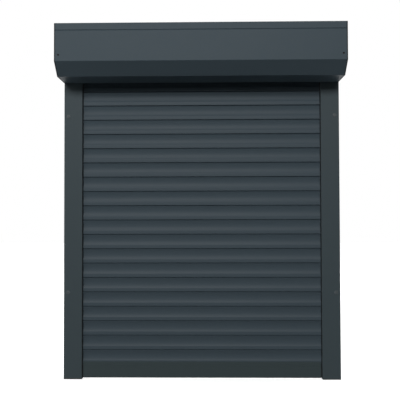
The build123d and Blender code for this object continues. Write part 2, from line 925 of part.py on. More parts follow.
for i in range(slat_count):
    base = bar_to_first_slat + i * slat_pitch
    save(f"slat_{i + 1:02d}", slat(base))
    if i % lock_step == 0:
        save(f"end_locks_{i + 1:02d}", end_locks(base))

# End bar with its cover lip, ribs, chamber, hook and seal groove
bar_datum = bar_to_first_slat - slat_pitch
bar_low = bar_bottom - bar_datum
bar_lip_top = bar_top - bar_datum
bar_shoulder = slat_pitch - bar_body_gap
bar_front = -bar_cover
bar_middle = (bar_back - bar_cover) / 2
bar_half = rail_inner - seal_overhang - bar_end_gap
cavity_low = bar_low + seal_throat_depth
cavity_high = cavity_low + seal_cavity_depth
with BuildPart() as end_bar:
    with BuildSketch(slat_plane(bar_datum)):
        with BuildLine():
            Polyline(
                (bar_front, bar_low),
                (bar_front, bar_lip_top),
                (bar_front + bar_lip_wall, bar_lip_top),
                (bar_front + bar_lip_wall, bar_shoulder),
                (neck_front, bar_shoulder),
                *reversed(hook_points()),
                (channel_width, slat_pitch - seat_gap),
                (bar_back, slat_pitch - bar_back_slope),
                (bar_back, bar_low),
                close=True,
            )
        make_face()
        span_block(
            (bar_front + bar_wall, bar_back - bar_wall),
            (cavity_high + bar_wall, bar_shoulder - bar_wall),
            Mode.SUBTRACT,
        )
        with Locations((bar_middle, (bar_low + cavity_low) / 2)):
            Rectangle(seal_throat, seal_throat_depth, mode=Mode.SUBTRACT)
        with Locations((bar_middle, (cavity_low + cavity_high) / 2)):
            Rectangle(seal_cavity, seal_cavity_depth, mode=Mode.SUBTRACT)
        for drop in bar_groove_drops:
            with Locations((bar_front, bar_lip_top - drop)):
                Rectangle(2 * bar_groove_depth, bar_groove_width, mode=Mode.SUBTRACT)
    extrude(amount=bar_half, both=True)
save("end_bar", end_bar.part)

with BuildPart() as end_bar_seal:
    with BuildSketch(slat_plane(bar_datum)) as seal_section:
        with Locations((bar_middle, bar_low - seal_drop / 2)):
            Rectangle(seal_width, seal_drop)
        fillet(seal_section.vertices().group_by(Axis.Y)[0], radius=seal_drop / 2)
        with Locations((bar_middle, (bar_low + cavity_low) / 2)):
            Rectangle(seal_throat - 2 * fit_gap, seal_throat_depth + 2 * fit_gap)
        span_block(
            (bar_middle - seal_cavity / 2 + fit_gap, bar_middle + seal_cavity / 2 - fit_gap),
            (cavity_low + fit_gap, cavity_high - fit_gap),
        )
    extrude(amount=bar_half, both=True)
save("end_bar_seal", end_bar_seal.part)

glide_low = bar_low + glide_edge
glide_high = bar_shoulder - glide_edge
tongue_low = cavity_high + bar_wall + fit_gap
tongue_high = bar_shoulder - bar_wall - fit_gap
with BuildPart() as end_bar_glides:
    for side in (-1, 1):
        with BuildSketch(slat_plane(bar_datum, side * bar_half)):
            span_block((seat_gap, slat_thick - seat_gap), (glide_low, glide_high))
        extrude(amount=side * (half_width - rail_chamber - glide_end_room - bar_half))
        with BuildSketch(slat_plane(bar_datum, side * bar_half)):
            span_block(
                (bar_front + bar_wall + fit_gap, bar_back - bar_wall - fit_gap), (tongue_low, tongue_high)
            )
        extrude(amount=-side * glide_tongue)
    outer_ends = end_bar_glides.faces().filter_by(Axis.X).sort_by(Axis.X)
    corners = outer_ends[0].edges().filter_by(Axis.Y) + outer_ends[-1].edges().filter_by(Axis.Y)
    fillet(corners, radius=glide_radius)
save("end_bar_glides", end_bar_glides.part)

full_turn = math.degrees(full_rise / winding_radius)
print(f"slat play {slat_play:.3f} mm, roller turns {full_turn:.3f} degrees")
print(f"end bar rises {bar_rise:.3f} mm, hangers rise {full_rise:.3f} mm")
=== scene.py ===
"""Looks of an exterior roller shutter with a front-mounted casing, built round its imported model."""

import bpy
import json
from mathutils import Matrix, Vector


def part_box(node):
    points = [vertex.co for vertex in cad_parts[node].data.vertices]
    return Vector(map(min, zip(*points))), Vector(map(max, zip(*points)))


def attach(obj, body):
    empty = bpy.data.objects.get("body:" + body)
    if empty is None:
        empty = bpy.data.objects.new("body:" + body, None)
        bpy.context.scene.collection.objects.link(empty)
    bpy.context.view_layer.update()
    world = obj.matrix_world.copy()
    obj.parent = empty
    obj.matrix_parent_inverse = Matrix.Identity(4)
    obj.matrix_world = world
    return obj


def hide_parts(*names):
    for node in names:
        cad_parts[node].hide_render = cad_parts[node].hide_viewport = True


bl_info = {
    "name": "Exterior roller shutter",
    "version": (1, 0, 0),
    "blender": (4, 5, 0),
    "location": "3D View > Sidebar > Shutter",
    "description": "Models the folded casing, guide rails, slats and fittings of a roller shutter",
    "category": "Object",
}

import json
import math

import bmesh
import bpy
from mathutils import Matrix, Vector

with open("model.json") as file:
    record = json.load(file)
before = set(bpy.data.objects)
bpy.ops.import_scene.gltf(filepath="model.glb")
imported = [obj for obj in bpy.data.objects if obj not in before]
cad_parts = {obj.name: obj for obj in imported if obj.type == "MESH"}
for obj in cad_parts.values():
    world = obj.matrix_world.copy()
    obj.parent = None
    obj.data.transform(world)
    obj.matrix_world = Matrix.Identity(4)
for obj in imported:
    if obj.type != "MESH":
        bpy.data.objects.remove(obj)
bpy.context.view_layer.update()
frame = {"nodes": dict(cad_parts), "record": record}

MM = 0.001
# Corners nearer than this are merged: the first in drawn sections, the second elsewhere
SECTION_WELD = MM / 200
WELD = MM / 500

# Levels and faces of the shutter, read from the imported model
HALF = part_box("end_cap_right")[1].x
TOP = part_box("rear_casing")[1].z
CASING_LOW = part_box("inspection_cover")[0].z
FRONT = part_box("inspection_cover")[0].y
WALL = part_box("rear_casing")[1].y
SHEET_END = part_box("rear_casing")[1].x
CHAMFER, LIP_HEIGHT = 35 * MM, 19 * MM
CREASE = CASING_LOW + CHAMFER
SEAM = TOP - LIP_HEIGHT
RAIL_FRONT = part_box("guide_rail_left")[0].y
RAIL_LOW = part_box("guide_rail_left")[0].z
RAIL_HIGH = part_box("guide_rail_left")[1].z
SLAT_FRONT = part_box("slat_01")[0].y
SLAT_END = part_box("slat_01")[1].x
SLAT_COUNT = sum(name.startswith("slat_") for name in frame["nodes"])
BAR_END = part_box("end_bar")[1].x
BAR_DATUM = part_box("end_bar")[0].z - 4 * MM

# Inspection cover: its reach past the rails' fronts, and its gap under the casing's lip
COVER_REACH, COVER_GAP = 2 * MM, 0.8 * MM
# Set-back and fold of its upper edge, and height of its turned edges
COVER_STEP, COVER_FOLD, COVER_EDGE = 1.3 * MM, 2 * MM, 8 * MM
# Notches at the ends of its lower edge: size, and height of the middle above the casing's foot
NOTCH_SIZE, NOTCH_RISE = (34.6 * MM, 10 * MM, 20 * MM), 11 * MM

# Slot and body of each CAD node
SLOT_OF = {part["node"]: part["material_slot"] for part in frame["record"]["subparts"]}
BODIES = frame["record"]["behaviour"]["bodies"]
BODY_OF = {node: body for body, nodes in BODIES.items() for node in nodes}

# Casing screws: distance from the ends, heights on the front and back, and reach on the top
SCREW_INSET = 11.5 * MM
SCREW_RISE_FRONT = 17 * MM
SCREW_RISE_BACK = 80 * MM
SCREW_REACH_TOP = 35 * MM
# Height of a screw's rim, and width of its eased edges
SCREW_RIM, SCREW_EDGE = 0.2 * MM, 0.07 * MM
# Under a screw's head, in millimetres: the drop to each further ring, and its width by the last
SCREW_RINGS = ((1.25, 1.45 / 2.8), (6.2, 1.0), (1.3, 0.25))
# Cross recess: width, depth and middle of each blade that cuts it, and its taper to the foot
BLADE_WIDTH, BLADE_DEPTH, BLADE_MIDDLE = 0.62 * MM, 1.8 * MM, -0.4 * MM
BLADE_TAPER = 0.45
# Countersunk holes: radius at the foot, depth, and room round a screw's head
SINK_FOOT, SINK_DEPTH, SINK_ROOM = 1.6 * MM, 1.35 * MM, 0.15 * MM

# Plugs: radius and height of the rim, rings of the dome as shares of it, and eased edges
PLUG_RADIUS, PLUG_RIM_HEIGHT, PLUG_EDGE = 5.8 * MM, 0.4 * MM, 0.1 * MM
PLUG_DOME_SHARES = (0.96, 0.88, 0.76, 0.60, 0.40, 0.22)
# Dimple in the middle of a plug, and rings of its stem: width by the last, and drop to it in
# millimetres
DIMPLE_INSET, DIMPLE_DEPTH = 0.25 * MM, 0.18 * MM
PLUG_STEM = ((4.85 * MM / PLUG_RADIUS, 0), (1, 3.6), (0.9, 1.2))
# Holes behind the plugs: radius of each and face of the rail that it goes through, and length
FIXING_HOLES = ((5.0 * MM, RAIL_FRONT), (3.5 * MM, WALL))
FIXING_HOLE_DEPTH = 8 * MM

# Light slots: distance from the slat's ends, and place in the slat's section in millimetres
SLOT_END_ROOM, SLOT_CENTRE = 40 * MM, (4.6, 43.6)
# Their punch: reach through the slat, and rounding as a share of its height
PUNCH_REACH, PUNCH_ROUNDING = 3 * MM, 0.45

# Eased edges of the fittings, and the turned ones among them
CAST_EDGE, FUNNEL_EDGE, TURNED_EDGE, FITTING_EDGE = 0.3 * MM, 0.25 * MM, 0.2 * MM, 0.15 * MM
TURNED = {"motor_tube", "motor_head", "bearing_outer_ring", "bearing_inner_ring", "idler_pin"}

# Lamps: name, place, setting of its power, width and height
LAMPS = (
    ("key_lamp", (-0.6, -5.0, 2.7), "key", 4.6, 1.4),
    ("fill_lamp", (-3.2, -1.6, 1.4), "fill", 1.6, 2.2),
    ("back_lamp", (0.6, 2.8, 2.6), "back", 3.0, 1.6),
    ("left_lamp", (-3.0, 0.5, 1.3), "side", 1.4, 1.8),
    ("right_lamp", (3.0, 0.5, 1.3), "side", 1.4, 1.8),
)
WHITE = (1, 1, 1, 1)


def tone(red, green, blue):
    """A screen colour from 0 to 255, as the linear colour that a shader takes."""
    levels = [value / 255 for value in (red, green, blue)]
    return tuple(v / 12.92 if v <= 0.04045 else ((v + 0.055) / 1.055) ** 2.4 for v in levels)


def colour(name, description, default):
    """A colour setting."""
    return bpy.props.FloatVectorProperty(
        name=name, description=description, default=default, subtype="COLOR", size=3, min=0, max=1
    )


def size(name, description, default, most):
    """A length setting."""
    return bpy.props.FloatProperty(
        name=name, description=description, default=default, min=0, max=most, unit="LENGTH",
        precision=5,
    )


def turn(name, description, degrees):
    """An angle setting."""
    return bpy.props.FloatProperty(
        name=name, description=description, default=math.radians(degrees), subtype="ANGLE"
    )


def amount(name, description, default, most, least=0, **kind):
    """A number setting, with a unit or subtype where one fits."""
    return bpy.props.FloatProperty(
        name=name, description=description, default=default, min=least, max=most, **kind
    )


class ShutterColours(bpy.types.PropertyGroup):
    """Colours of the shutter's finishes."""

    casing: colour("Casing", "Powder coat of the folded sheets", tone(61, 73, 80))
    # The end caps' tone is set well below the casing's. It is partly their own cast coat and partly
    # painted shade for the dark outline along the casing's ends.
    cast: colour("End caps", "Powder coat of the cast end caps", tone(34, 41, 45))
    rail: colour("Rails", "Powder coat of the guide rails", tone(59, 69, 73))
    slat: colour("Slats", "Coil coating of the slats", tone(60, 71, 78))
    bar: colour("End bar", "Powder coat of the end bar", tone(54, 64, 66))
    screw: colour("Screws", "Paint on the casing screws", tone(8, 9, 11))
    rubber: colour("Rubber", "Seals and the cable grommet", tone(13, 14, 15))
    moulded: colour("Black plastic", "Feet, funnels, locks and glides", tone(20, 22, 24))
    plug: colour("Plugs", "Plastic plugs over the fixing screws", tone(46, 54, 57))
    grey: colour("Grey plastic", "Caps and rings of the roller", tone(128, 131, 134))
    zinc: colour("Zinc", "Galvanised steel of the tube", tone(178, 182, 184))
    steel: colour("Steel", "Turned and plated steel", tone(186, 186, 184))
    spring: colour("Spring steel", "Hanger straps", tone(96, 100, 112))
    motor: colour("Motor tube", "Housing of the tubular motor", tone(208, 208, 205))
    floor: colour("Floor", "Pale studio floor", tone(236, 236, 234))
    bounce: colour("Floor bounce", "Colour that the floor throws on the shutter", tone(34, 35, 36))


class ShutterSizes(bpy.types.PropertyGroup):
    """Sizes of the details that are added to the model."""

    sheet: size("Sheet", "Thickness of the casing's folded sheets", 1.0 * MM, 0.003)
    bend: size("Bend radius", "Outer radius of the sheets' bends", 2.0 * MM, 0.01)
    bend_steps: bpy.props.IntProperty(
        name="Bend steps", description="Faces across each bend", default=6, min=1, max=16
    )
    edge: size("Edge", "Width of the eased edges of sheets and sections", 0.16 * MM, 0.001)
    slat_edge: size("Slat edge", "Width of the eased edges of a slat", 0.12 * MM, 0.0003)
    slot_length: size("Light slot", "Length of a light slot", 16.0 * MM, 0.04)
    slot_height: size("Slot height", "Height of a light slot", 2.2 * MM, 0.003)
    slot_pitch: size("Slot pitch", "Distance from one light slot to the next", 24.0 * MM, 0.1)
    screw_head: size("Screw head", "Radius of a casing screw's head", 2.8 * MM, 0.005)
    recess: size("Recess", "Length of the cross recess in a screw's head", 3.2 * MM, 0.005)
    plug_rim: size("Plug rim", "Radius of a plug's rim", PLUG_RADIUS, 0.01)
    plug_dome: size("Plug dome", "Height of a plug's dome", 1.1 * MM, 0.003)


class ShutterStage(bpy.types.PropertyGroup):
    """Camera, lamps and floor of the stage."""

    camera_place: bpy.props.FloatVectorProperty(
        name="Camera", description="Place of the camera", default=(0.0244, -1.6565, 0.4765),
        subtype="TRANSLATION", unit="LENGTH", size=3,
    )
    yaw: turn("Yaw", "Turn of the camera to the right", -0.954)
    pitch: turn("Pitch", "Tilt of the camera upwards", 1.38)
    roll: turn("Roll", "Roll of the camera", 0.141)
    lens: amount("Lens", "Focal length on a 36 mm sensor", 52.87, 200, 10, unit="CAMERA")
    key: amount("Key lamp", "Power of the large lamp in front and above", 226, 1000, unit="POWER")
    fill: amount("Fill lamp", "Power of the lamp on the left", 18, 1000, unit="POWER")
    back: amount("Back lamp", "Power of the lamp behind the shutter", 70, 1000, unit="POWER")
    side: amount("Side lamps", "Power of each lamp beside the shutter", 42, 1000, unit="POWER")
    sky: amount("Sky", "Strength of the world's light on the shutter", 0.02, 2)
    glow: amount("Floor glow", "Own light of the floor at the shutter", 0.60, 1, subtype="FACTOR")
    glow_start: size("Glow start", "Distance at which the floor starts to glow more", 0.9, 10.0)
    glow_end: size("Glow end", "Distance from which the floor is white", 3.2, 20.0)
    floor_size: size("Floor", "Width of the floor", 16.0, 40.0)


# Modelling by hand


def deselect():
    """Leave edit mode with nothing selected."""
    if bpy.context.mode != "OBJECT":
        bpy.ops.object.mode_set(mode="OBJECT")
    bpy.ops.object.select_all(action="DESELECT")


def pick(piece):
    """Select one piece and make it active."""
    deselect()
    piece.select_set(True)
    bpy.context.view_layer.objects.active = piece


def edit(piece):
    """Open a piece in edit mode with all of it selected."""
    pick(piece)
    bpy.ops.object.mode_set(mode="EDIT")
    bpy.ops.mesh.select_mode(type="FACE")
    bpy.ops.mesh.select_all(action="SELECT")


def choose(piece, kind, test):
    """In edit mode, select the edges or faces whose middle passes a test."""
    bpy.ops.mesh.select_mode(type=kind)
    bpy.ops.mesh.select_all(action="DESELECT")
    mesh = bmesh.from_edit_mesh(piece.data)
    for item in {"EDGE": mesh.edges, "FACE": mesh.faces}[kind]:
        middle = sum((corner.co for corner in item.verts), Vector()) / len(item.verts)
        if test(middle, item):
            item.select_set(True)
    bmesh.update_edit_mesh(piece.data)


def looks_up(middle, face):
    """Whether a face looks up."""
    return face.normal.z > 0.9


def looks_down(middle, face):
    """Whether a face looks down."""
    return face.normal.z < -0.9


def runs_deep(middle, edge):
    """Whether an edge runs from the front to the back."""
    return abs(edge.verts[0].co.y - edge.verts[1].co.y) > MM


def push(way):
    """In edit mode, extrude what is selected."""
    bpy.ops.mesh.extrude_region_move(TRANSFORM_OT_translate={"value": way})


def narrow(share):
    """In edit mode, scale what is selected across Z."""
    bpy.ops.transform.resize(value=(share, share, 1))


def heal():
    """In edit mode, merge doubled corners and turn every face outwards."""
    bpy.ops.mesh.select_all(action="SELECT")
    bpy.ops.mesh.remove_doubles(threshold=WELD)
    bpy.ops.mesh.normals_make_consistent(inside=False)


def settle(piece):
    """Put a piece's place, turn and scale into its mesh."""
    pick(piece)
    bpy.ops.object.transform_apply(location=True, rotation=True, scale=True)


def added(operator, scale=(1, 1, 1), **settings):
    """The piece that an operator adds, with its place in its mesh."""
    deselect()
    operator(**settings)
    piece = bpy.context.object
    piece.scale = scale
    settle(piece)
    return piece


def start(place):
    """In edit mode, a plane merged to one vertex at a place."""
    bpy.ops.mesh.primitive_plane_add(size=MM, location=place)
    bpy.ops.mesh.merge(type="CENTER")


def draw(points):
    """Extrude the selected vertex or edge from the first point along the others."""
    for here, there in zip(points, points[1:]):
        push(there - here)


def blank(name):
    """A new piece in edit mode with nothing in it yet."""
    deselect()
    bpy.ops.mesh.primitive_plane_add(size=MM)
    piece = bpy.context.object
    piece.name = piece.data.name = name
    bpy.ops.object.mode_set(mode="EDIT")
    bpy.ops.mesh.select_mode(type="VERT")
    bpy.ops.mesh.select_all(action="SELECT")
    bpy.ops.mesh.delete(type="VERT")
    return piece


def section(name, loops, along):
    """A bar whose section is drawn as an outline with openings, filled and extruded."""
    piece = blank(name)
    for loop in loops:
        start(loop[0])
        draw([*loop, loop[0]])
    bpy.ops.mesh.select_all(action="SELECT")
    bpy.ops.mesh.remove_doubles(threshold=SECTION_WELD)
    bpy.ops.mesh.fill(use_beauty=False)
    bpy.ops.mesh.select_all(action="SELECT")
    push(along)
    bpy.ops.mesh.select_all(action="SELECT")
    bpy.ops.mesh.normals_make_consistent(inside=False)
    deselect()
    return piece


def apply_all(piece):
    """Apply every modifier of a piece."""
    pick(piece)
    for modifier in list(piece.modifiers):
        bpy.ops.object.modifier_apply(modifier=modifier.name)


def cut(piece, cutter):
    """Take a cutter away from a piece."""
    modifier = piece.modifiers.new("cut", "BOOLEAN")
    modifier.operation = "DIFFERENCE"
    modifier.solver = "EXACT"
    modifier.object = cutter
    apply_all(piece)
    bpy.data.objects.remove(cutter)


def smooth(piece, angle=40):
    """Apply a piece's modifiers and shade it smooth, with its large faces kept flat."""
    apply_all(piece)
    bpy.ops.object.shade_smooth_by_angle(angle=math.radians(angle))
    modifier = piece.modifiers.new("flat faces", "WEIGHTED_NORMAL")
    modifier.keep_sharp = True
    apply_all(piece)


def ease(piece, width, angle=40, steps=2):
    """Round the edges of a piece a little and shade it smooth between its flat faces."""
    modifier = piece.modifiers.new("eased edges", "BEVEL")
    modifier.width = width
    modifier.segments = steps
    modifier.limit_method = "ANGLE"
    modifier.angle_limit = math.radians(angle)
    modifier.use_clamp_overlap = False
    modifier.miter_outer = "MITER_ARC"
    smooth(piece, angle)


def merged(node, name):
    """A copy of a CAD node with its loose triangles merged to whole faces."""
    piece = bpy.data.objects.new(name, frame["nodes"][node].data.copy())
    bpy.context.scene.collection.objects.link(piece)
    edit(piece)
    if piece.data.has_custom_normals:
        bpy.ops.mesh.customdata_custom_splitnormals_clear()
    bpy.ops.mesh.remove_doubles(threshold=WELD)
    bpy.ops.mesh.dissolve_limited(angle_limit=math.radians(0.4))
    deselect()
    return piece


def copied(piece, name):
    """A copy of a piece with its own mesh."""
    pick(piece)
    bpy.ops.object.duplicate(linked=False)
    copy = bpy.context.object
    copy.name = copy.data.name = name
    return copy


def spread(piece, names, places):
    """Copies of a piece, each in its own place, made instead of the piece."""
    made = []
    for name, place in zip(names, places):
        copy = copied(piece, name)
        copy.matrix_world = place
        settle(copy)
        made.append(copy)
    bpy.data.objects.remove(piece)
    return made


def mirrored(piece, name):
    """A copy of a piece on the other side of the middle, facing outwards again."""
    copy = copied(piece, name)
    copy.scale.x = -1
    settle(copy)
    edit(copy)
    heal()
    deselect()
    return copy


def hand_over(piece, node, surface=None):
    """Give a finished piece its finish and body, in the stead of a CAD node."""
    slot = SLOT_OF[node]
    settle(piece)
    piece.data.materials.clear()
    piece.data.materials.append(finish_of(surface or slot))
    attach(piece, BODY_OF[node])
    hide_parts(node)


def eased(node, name, width):
    """Put a copy of a CAD node with eased edges in the node's stead."""
    piece = merged(node, name)
    ease(piece, width)
    hand_over(piece, node)


# Outlines


def arc(first, through, last, steps):
    """Points after the first on the circle through three points."""
    (ax, ay), (bx, by), (cx, cy) = first, through, last
    base = 2 * (ax * (by - cy) + bx * (cy - ay) + cx * (ay - by))
    aa, bb, cc = ax * ax + ay * ay, bx * bx + by * by, cx * cx + cy * cy
    mx = (aa * (by - cy) + bb * (cy - ay) + cc * (ay - by)) / base
    my = (aa * (cx - bx) + bb * (ax - cx) + cc * (bx - ax)) / base
    radius = math.hypot(ax - mx, ay - my)
    begin, middle, end = (math.atan2(y - my, x - mx) for x, y in (first, through, last))
    full = 2 * math.pi
    sweep, part = (end - begin) % full, (middle - begin) % full
    if part > sweep:
        sweep -= full
    angles = [begin + sweep * step / steps for step in range(1, steps + 1)]
    return [(mx + radius * math.cos(angle), my + radius * math.sin(angle)) for angle in angles]


def rounded(*corners, steps=4):
    """A closed outline from (x, y) corners, and (x, y, radius) where a corner is rounded."""
    made = []
    for number, corner in enumerate(corners):
        here = Vector(corner[:2])
        if len(corner) == 2:
            made.append(tuple(here))
            continue
        before = (Vector(corners[number - 1][:2]) - here).normalized()
        after = (Vector(corners[(number + 1) % len(corners)][:2]) - here).normalized()
        half = before.angle(after) / 2
        reach = corner[2] / math.tan(half)
        centre = here + (before + after).normalized() * corner[2] / math.sin(half)
        first, last = here + before * reach, here + after * reach
        through = centre + (here - centre).normalized() * corner[2]
        made += [tuple(first), *arc(tuple(first), tuple(through), tuple(last), steps)]
    return made


def flip(points, whole):
    """The same outline points seen from the other side of a section."""
    return [(across, whole - deep) for across, deep in reversed(points)]


# Outlines of the rails and their seals, in millimetres from the outer side and from the front
RAIL_DEPTH = 22
SEAL_GROOVE = [
    (53.0, 4.6), (50.3, 4.6), (50.3, 3.8), (51.2, 3.8), (51.2, 1.9), (47.3, 1.9), (47.3, 3.8),
    (48.2, 3.8), (48.2, 4.6), (45.5, 4.6),
]
RAIL_OUTLINE = rounded(
    (0, 0, 0.8), (53, 0, 1.5), *SEAL_GROOVE, (45.5, 1.6), (25, 1.6), (25, 20.4), (45.5, 20.4),
    *flip(SEAL_GROOVE, RAIL_DEPTH), (53, RAIL_DEPTH, 0.8), (0, RAIL_DEPTH, 0.8), steps=6,
)
RAIL_CHAMBER = [(1.6, 1.6), (23.4, 1.6), (23.4, 20.4), (1.6, 20.4)]
SEAL_LIP = [
    (47.5, 4.75), (48.35, 4.75), (48.35, 3.65), (47.45, 3.65), (47.45, 2.05), (51.05, 2.05),
    (51.05, 3.65), (50.15, 3.65), (50.15, 4.75), (54.3, 4.75),
    *arc((54.3, 4.75), (55.0, 5.5), (54.3, 6.25), 6),
    *arc((54.3, 6.25), (53.7, 5.75), (53.1, 6.25), 4),
    *arc((53.1, 6.25), (52.4, 5.75), (51.7, 6.25), 4),
    (48.1, 6.25), (47.5, 5.9),
]

# Outlines of the slats, the end bar and its seal, in millimetres from the slats' front and from
# a slat's foot or BAR_DATUM
HOOK = [(5.1, 41.5), (5.1, 49.1), (1.3, 49.1), (1.3, 46.1), (2.3, 46.1), (2.3, 48.1), (4.1, 48.1)]
SLAT_OUTLINE = [
    (0.8, 0), (3, 0), (3, 1.2), (1, 1.2), (1, 7.6), (5.6, 7.6), (5.6, 0), (6.6, 0), (6.6, 9.4),
    *arc((6.6, 9.4), (8.8, 23.7), (6.6, 38), 18),
    (6.6, 41.5), *HOOK, (4.1, 41.2), (0.8, 38.4), (0, 38),
    *arc((0, 38), (2.6, 23.7), (0, 9.4), 24),
    (0, 0.8), *arc((0, 0.8), (0.234, 0.234), (0.8, 0), 5)[:-1],
]
SLAT_CHAMBER = [
    (1, 38), *arc((1, 38), (3.6, 23.7), (1, 9.1), 12), (1, 8.6), (5.6, 8.6), (5.6, 9.1),
    *arc((5.6, 9.1), (7.8, 23.7), (5.6, 38), 12), (5.6, 40.5), (4.1, 40.5),
]
BAR_OUTLINE = rounded(
    (-1.8, 4, 0.4), (1.6, 4), (1.6, 5.2), (0.4, 5.2), (0.4, 7.8), (5.8, 7.8), (5.8, 5.2),
    (4.6, 5.2), (4.6, 4), (8, 4, 0.4), (8, 39.3), (6.6, 41.5), *HOOK, (4.1, 40.7), (-0.6, 40.7),
    (-0.6, 49, 0.5), (-1.8, 49, 0.6), (-1.8, 40.5), (-1.3, 40.3), (-1.3, 39.7), (-1.8, 39.5),
    (-1.8, 34.5), (-1.3, 34.3), (-1.3, 33.7), (-1.8, 33.5), steps=3,
)
BAR_CHAMBER = [(-0.4, 9.2), (6.6, 9.2), (6.6, 39.3), (-0.4, 39.3)]
BAR_SEAL = rounded(
    (0.1, 2, 1.3), (6.1, 2, 1.3), (6.1, 4), (4.45, 4), (4.45, 5.35), (5.65, 5.35),
    (5.65, 7.65, 0.5), (0.55, 7.65, 0.5), (0.55, 5.35), (1.75, 5.35), (1.75, 4), (0.1, 4),
)

# Half section of the grommet, in millimetres from its axis and from the end cap's outside
GROMMET = rounded(
    (3.5, 0.6, 0.5), (6.6, 0.0), (8.0, 0.0, 0.5), (8.0, 1.2), (5.85, 1.2), (5.85, 3.15),
    (8.0, 3.15, 0.6), (6.9, 5.15, 0.8), (3.5, 5.15, 0.6),
)


def rail_side(side):
    """Name of a side, and the function from a rail's section to a place at a height."""
    return ("left", "right")[side > 0], lambda across, deep, z: Vector(
        (side * (HALF - across * MM), RAIL_FRONT + deep * MM, z)
    )


def slat_place(x, base):
    """The function from a point of the curtain's section to a place."""
    return lambda deep, high: Vector((x, SLAT_FRONT + deep * MM, base + high * MM))


def strip(name, outlines, half, base):
    """A bar as wide as the curtain, from outlines above a base."""
    place = slat_place(-half, base)
    loops = [[place(*point) for point in outline] for outline in outlines]
    return section(name, loops, (2 * half, 0, 0))


# Shader sums


class Wire:
    """An output of a shader node, on which sums add Math nodes."""

    def __init__(self, tree, socket):
        self.tree = tree
        self.socket = socket

    def sum(self, operation, left, right):
        """Add a Math node on two numbers or wires."""
        return self.tree.node("ShaderNodeMath", {"operation": operation}, {0: left, 1: right})

    def __add__(self, other):
        return self.sum("ADD", self, other)

    __radd__ = __add__

    def __mul__(self, other):
        return self.sum("MULTIPLY", self, other)

    __rmul__ = __mul__

    def __sub__(self, other):
        return self.sum("SUBTRACT", self, other)

    def __rsub__(self, other):
        return self.sum("SUBTRACT", other, self)

    def __or__(self, other):
        return self.sum("MAXIMUM", self, other)


class Tree:
    """A node tree to which nodes are added one by one."""

    def __init__(self, tree):
        self.tree = tree

    def node(self, kind, settings=None, inputs=None, out=0):
        """Add a node with its settings and the values or wires of its sockets."""
        node = self.tree.nodes.new(kind)
        for key, value in (settings or {}).items():
            setattr(node, key, value)
        for key, value in (inputs or {}).items():
            if isinstance(value, Wire):
                self.tree.links.new(value.socket, node.inputs[key])
            else:
                node.inputs[key].default_value = value
        return Wire(self, node.outputs[out])

    def show(self, inner, outer, output):
        """Show one shader to the light that falls on the shutter and another to the eye."""
        camera, gloss, glass = (
            self.node("ShaderNodeLightPath", out=f"Is {kind} Ray")
            for kind in ("Camera", "Glossy", "Transmission")
        )
        seen = camera | gloss | glass
        both = self.node("ShaderNodeMixShader", None, {0: seen, 1: inner, 2: outer})
        self.tree.links.new(both.socket, self.tree.nodes[output].inputs["Surface"])


class Finish(Tree):
    """A material with one main shader, whose patterns lie on the piece itself."""

    def __init__(self, name):
        self.material = bpy.data.materials.new(f"{name}_finish")
        self.material.use_nodes = True
        super().__init__(self.material.node_tree)
        self.shader = self.tree.nodes["Principled BSDF"]
        self.place = self.node("ShaderNodeTexCoord", out="Object")

    def stretched(self, x, y, z):
        """The piece's own coordinates, stretched along its axes."""
        return self.node("ShaderNodeMapping", None, {"Vector": self.place, "Scale": (x, y, z)})

    def noise(self, scale, detail, place=None, roughness=0.5):
        """Even noise at a scale, in waves to the metre."""
        inputs = {"Scale": scale, "Detail": detail, "Roughness": roughness}
        return self.node("ShaderNodeTexNoise", None, {"Vector": place or self.place, **inputs})

    def ramp(self, wire, low, high):
        """A wire spread from 0 at one value to 1 at another."""
        inputs = {"Value": wire, "From Min": low, "From Max": high}
        return self.node("ShaderNodeMapRange", None, inputs)

    def mix(self, factor, first, second):
        """A blend of two colours."""
        pair = [(*each, 1) if isinstance(each, tuple) else each for each in (first, second)]
        inputs = {0: factor, 6: pair[0], 7: pair[1]}
        return self.node("ShaderNodeMix", {"data_type": "RGBA"}, inputs, out=2)

    def feed(self, **inputs):
        """Set or link sockets of the main shader."""
        for name, value in inputs.items():
            socket = self.shader.inputs[name.replace("_", " ")]
            if isinstance(value, Wire):
                self.tree.links.new(value.socket, socket)
            else:
                socket.default_value = value

    def relief(self, height, depth):
        """A bump of a real depth, in metres, on the shader's normal."""
        self.feed(Normal=self.node("ShaderNodeBump", None, {"Height": height, "Distance": depth}))


def shade(base, factor):
    """A colour made darker or lighter."""
    return tuple(min(1.0, part * factor) for part in base)


def powder_coat(name, base, grain=900, peel=75e-6, rough=0.44, brushed=None):
    """Satin powder coat: orange peel, a fine powder grain and a slow drift of its tone."""
    paint = Finish(name)
    cloud = paint.noise(2.2, 3)
    peeled = paint.noise(grain, 2)
    powder = paint.noise(grain * 4.2, 1)
    dust = paint.ramp(paint.noise(38, 5, roughness=0.62), 0.50, 0.78)
    height = peeled * 0.8 + powder * 0.2
    shine = rough - 0.05 + cloud * 0.06 + powder * 0.05 + dust * 0.05
    tint = paint.mix(cloud, shade(base, 0.94), shade(base, 1.06))
    if brushed:
        lines = paint.noise(1, 3, place=paint.stretched(*brushed))
        height = height + lines * 0.35
        shine = shine + lines * 0.05
    dusted = paint.mix(dust * 0.10, tint, shade(base, 1.25))
    paint.feed(Base_Color=dusted, Roughness=shine, Specular_IOR_Level=0.1)
    paint.relief(height, peel)
    return paint.material


def rubber(name, base):
    """Black rubber with a matt bloom."""
    made = Finish(name)
    bloom = made.ramp(made.noise(55, 5, roughness=0.6), 0.42, 0.74)
    tint = made.mix(bloom * 0.5, base, shade(base, 1.7))
    made.feed(Base_Color=tint, Roughness=0.62 + bloom * 0.16, Specular_IOR_Level=0.12)
    made.relief(made.noise(2600, 2), 14e-6)
    return made.material


